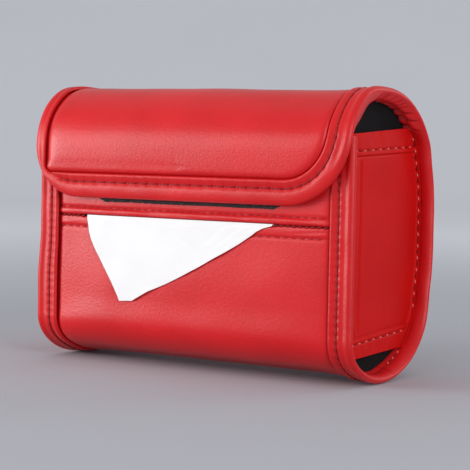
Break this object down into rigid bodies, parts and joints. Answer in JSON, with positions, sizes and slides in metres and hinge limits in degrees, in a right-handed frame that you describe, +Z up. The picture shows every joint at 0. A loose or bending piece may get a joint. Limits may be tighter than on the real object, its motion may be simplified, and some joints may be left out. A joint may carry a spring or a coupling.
{
  "type": "car tissue holder",
  "caption": "Soft bound leatherette pouch for a pack of paper tissues, with a hook-and-loop flap over the front, a dispensing slot and elastic bands on its back.",
  "frame": {"origin": "middle of the flat strip across the back's outer face, midway between the bands and midway up the pouch", "axes": "+X to the right seen from the front, +Y out of the back, so the front with its slot faces -Y, and +Z up"},
  "size_m": [0.2, 0.1031, 0.153],
  "materials": {
    "red_leatherette": "satin",
    "flap_leatherette": "satin",
    "binding_leatherette": "satin",
    "gusset_leatherette": "satin",
    "ribbed_cloth": "matte",
    "black_lining": "matte",
    "foam": "matte",
    "stiffener_board": "matte",
    "loop_tape": "matte",
    "hook_tape": "matte",
    "elastic_webbing": "matte",
    "tissue_paper": "matte"
  },
  "bodies": {
    "pouch": {"wrap_panel": "red_leatherette", "front_top_strip": "red_leatherette", "slot_facing_upper": "red_leatherette", "slot_facing_lower": "red_leatherette", "mouth_binding": "binding_leatherette", "body_binding_left": "binding_leatherette", "body_binding_right": "binding_leatherette", "gusset_left": "gusset_leatherette", "gusset_right": "gusset_leatherette", "side_cloth_left": "ribbed_cloth", "side_cloth_right": "ribbed_cloth", "body_lining": "black_lining", "front_strip_lining": "black_lining", "front_padding": "foam", "back_board": "stiffener_board", "loop_strip": "loop_tape", "strap_left": "elastic_webbing", "strap_right": "elastic_webbing", "strap_patch_left_lower": "red_leatherette", "strap_patch_left_upper": "red_leatherette", "strap_patch_right_lower": "red_leatherette", "strap_patch_right_upper": "red_leatherette", "tissue_stack": "tissue_paper", "tissue_sheet": "tissue_paper"},
    "flap": {"flap_panel": "flap_leatherette", "flap_binding": "binding_leatherette", "flap_padding": "foam", "flap_lining": "black_lining", "hook_strip": "hook_tape"}
  },
  "joints": [
    {"name": "flap_fold", "type": "hinge", "parent": "pouch", "child": "flap", "pos_m": [0, -0.01565, 0.05826], "axis": [-1, 0, 0], "range_deg": [0, 110]}
  ]
}
